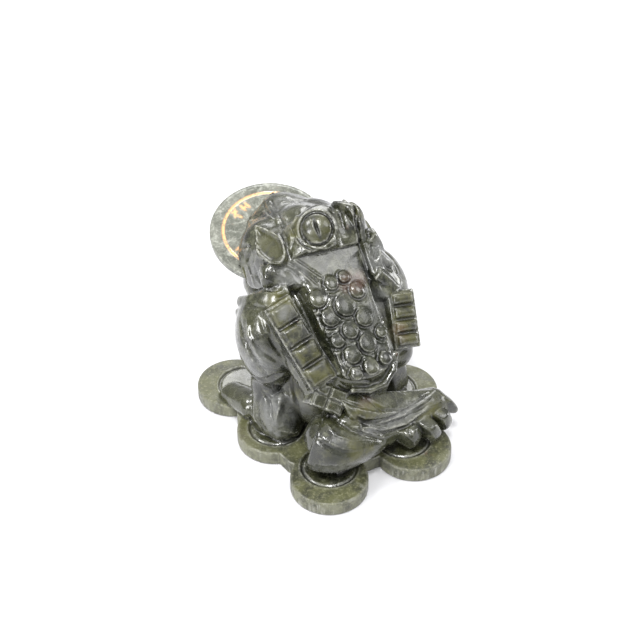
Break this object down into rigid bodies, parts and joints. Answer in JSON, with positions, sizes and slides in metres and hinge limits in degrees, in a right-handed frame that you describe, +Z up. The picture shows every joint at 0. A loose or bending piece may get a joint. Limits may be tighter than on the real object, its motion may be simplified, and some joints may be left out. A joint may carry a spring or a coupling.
{
  "type": "money toad figure",
  "caption": "Carved stone three-legged toad on a lobed bed of coins, looking up, with strings of coins over its shoulders and a loose stone coin in its mouth.",
  "frame": {"origin": "under the middle of the bed of coins, on the flat face that it stands on", "axes": "+Z up; the toad looks along -Y, its left side is +X, and -Z points down out of the face it stands on"},
  "size_m": [0.0782, 0.1105, 0.0848],
  "materials": {
    "dark_stone": "polished",
    "pale_stone": "polished"
  },
  "bodies": {
    "root": {"toad_on_coins": "dark_stone", "mouth_coin": "pale_stone"}
  },
  "joints": []
}
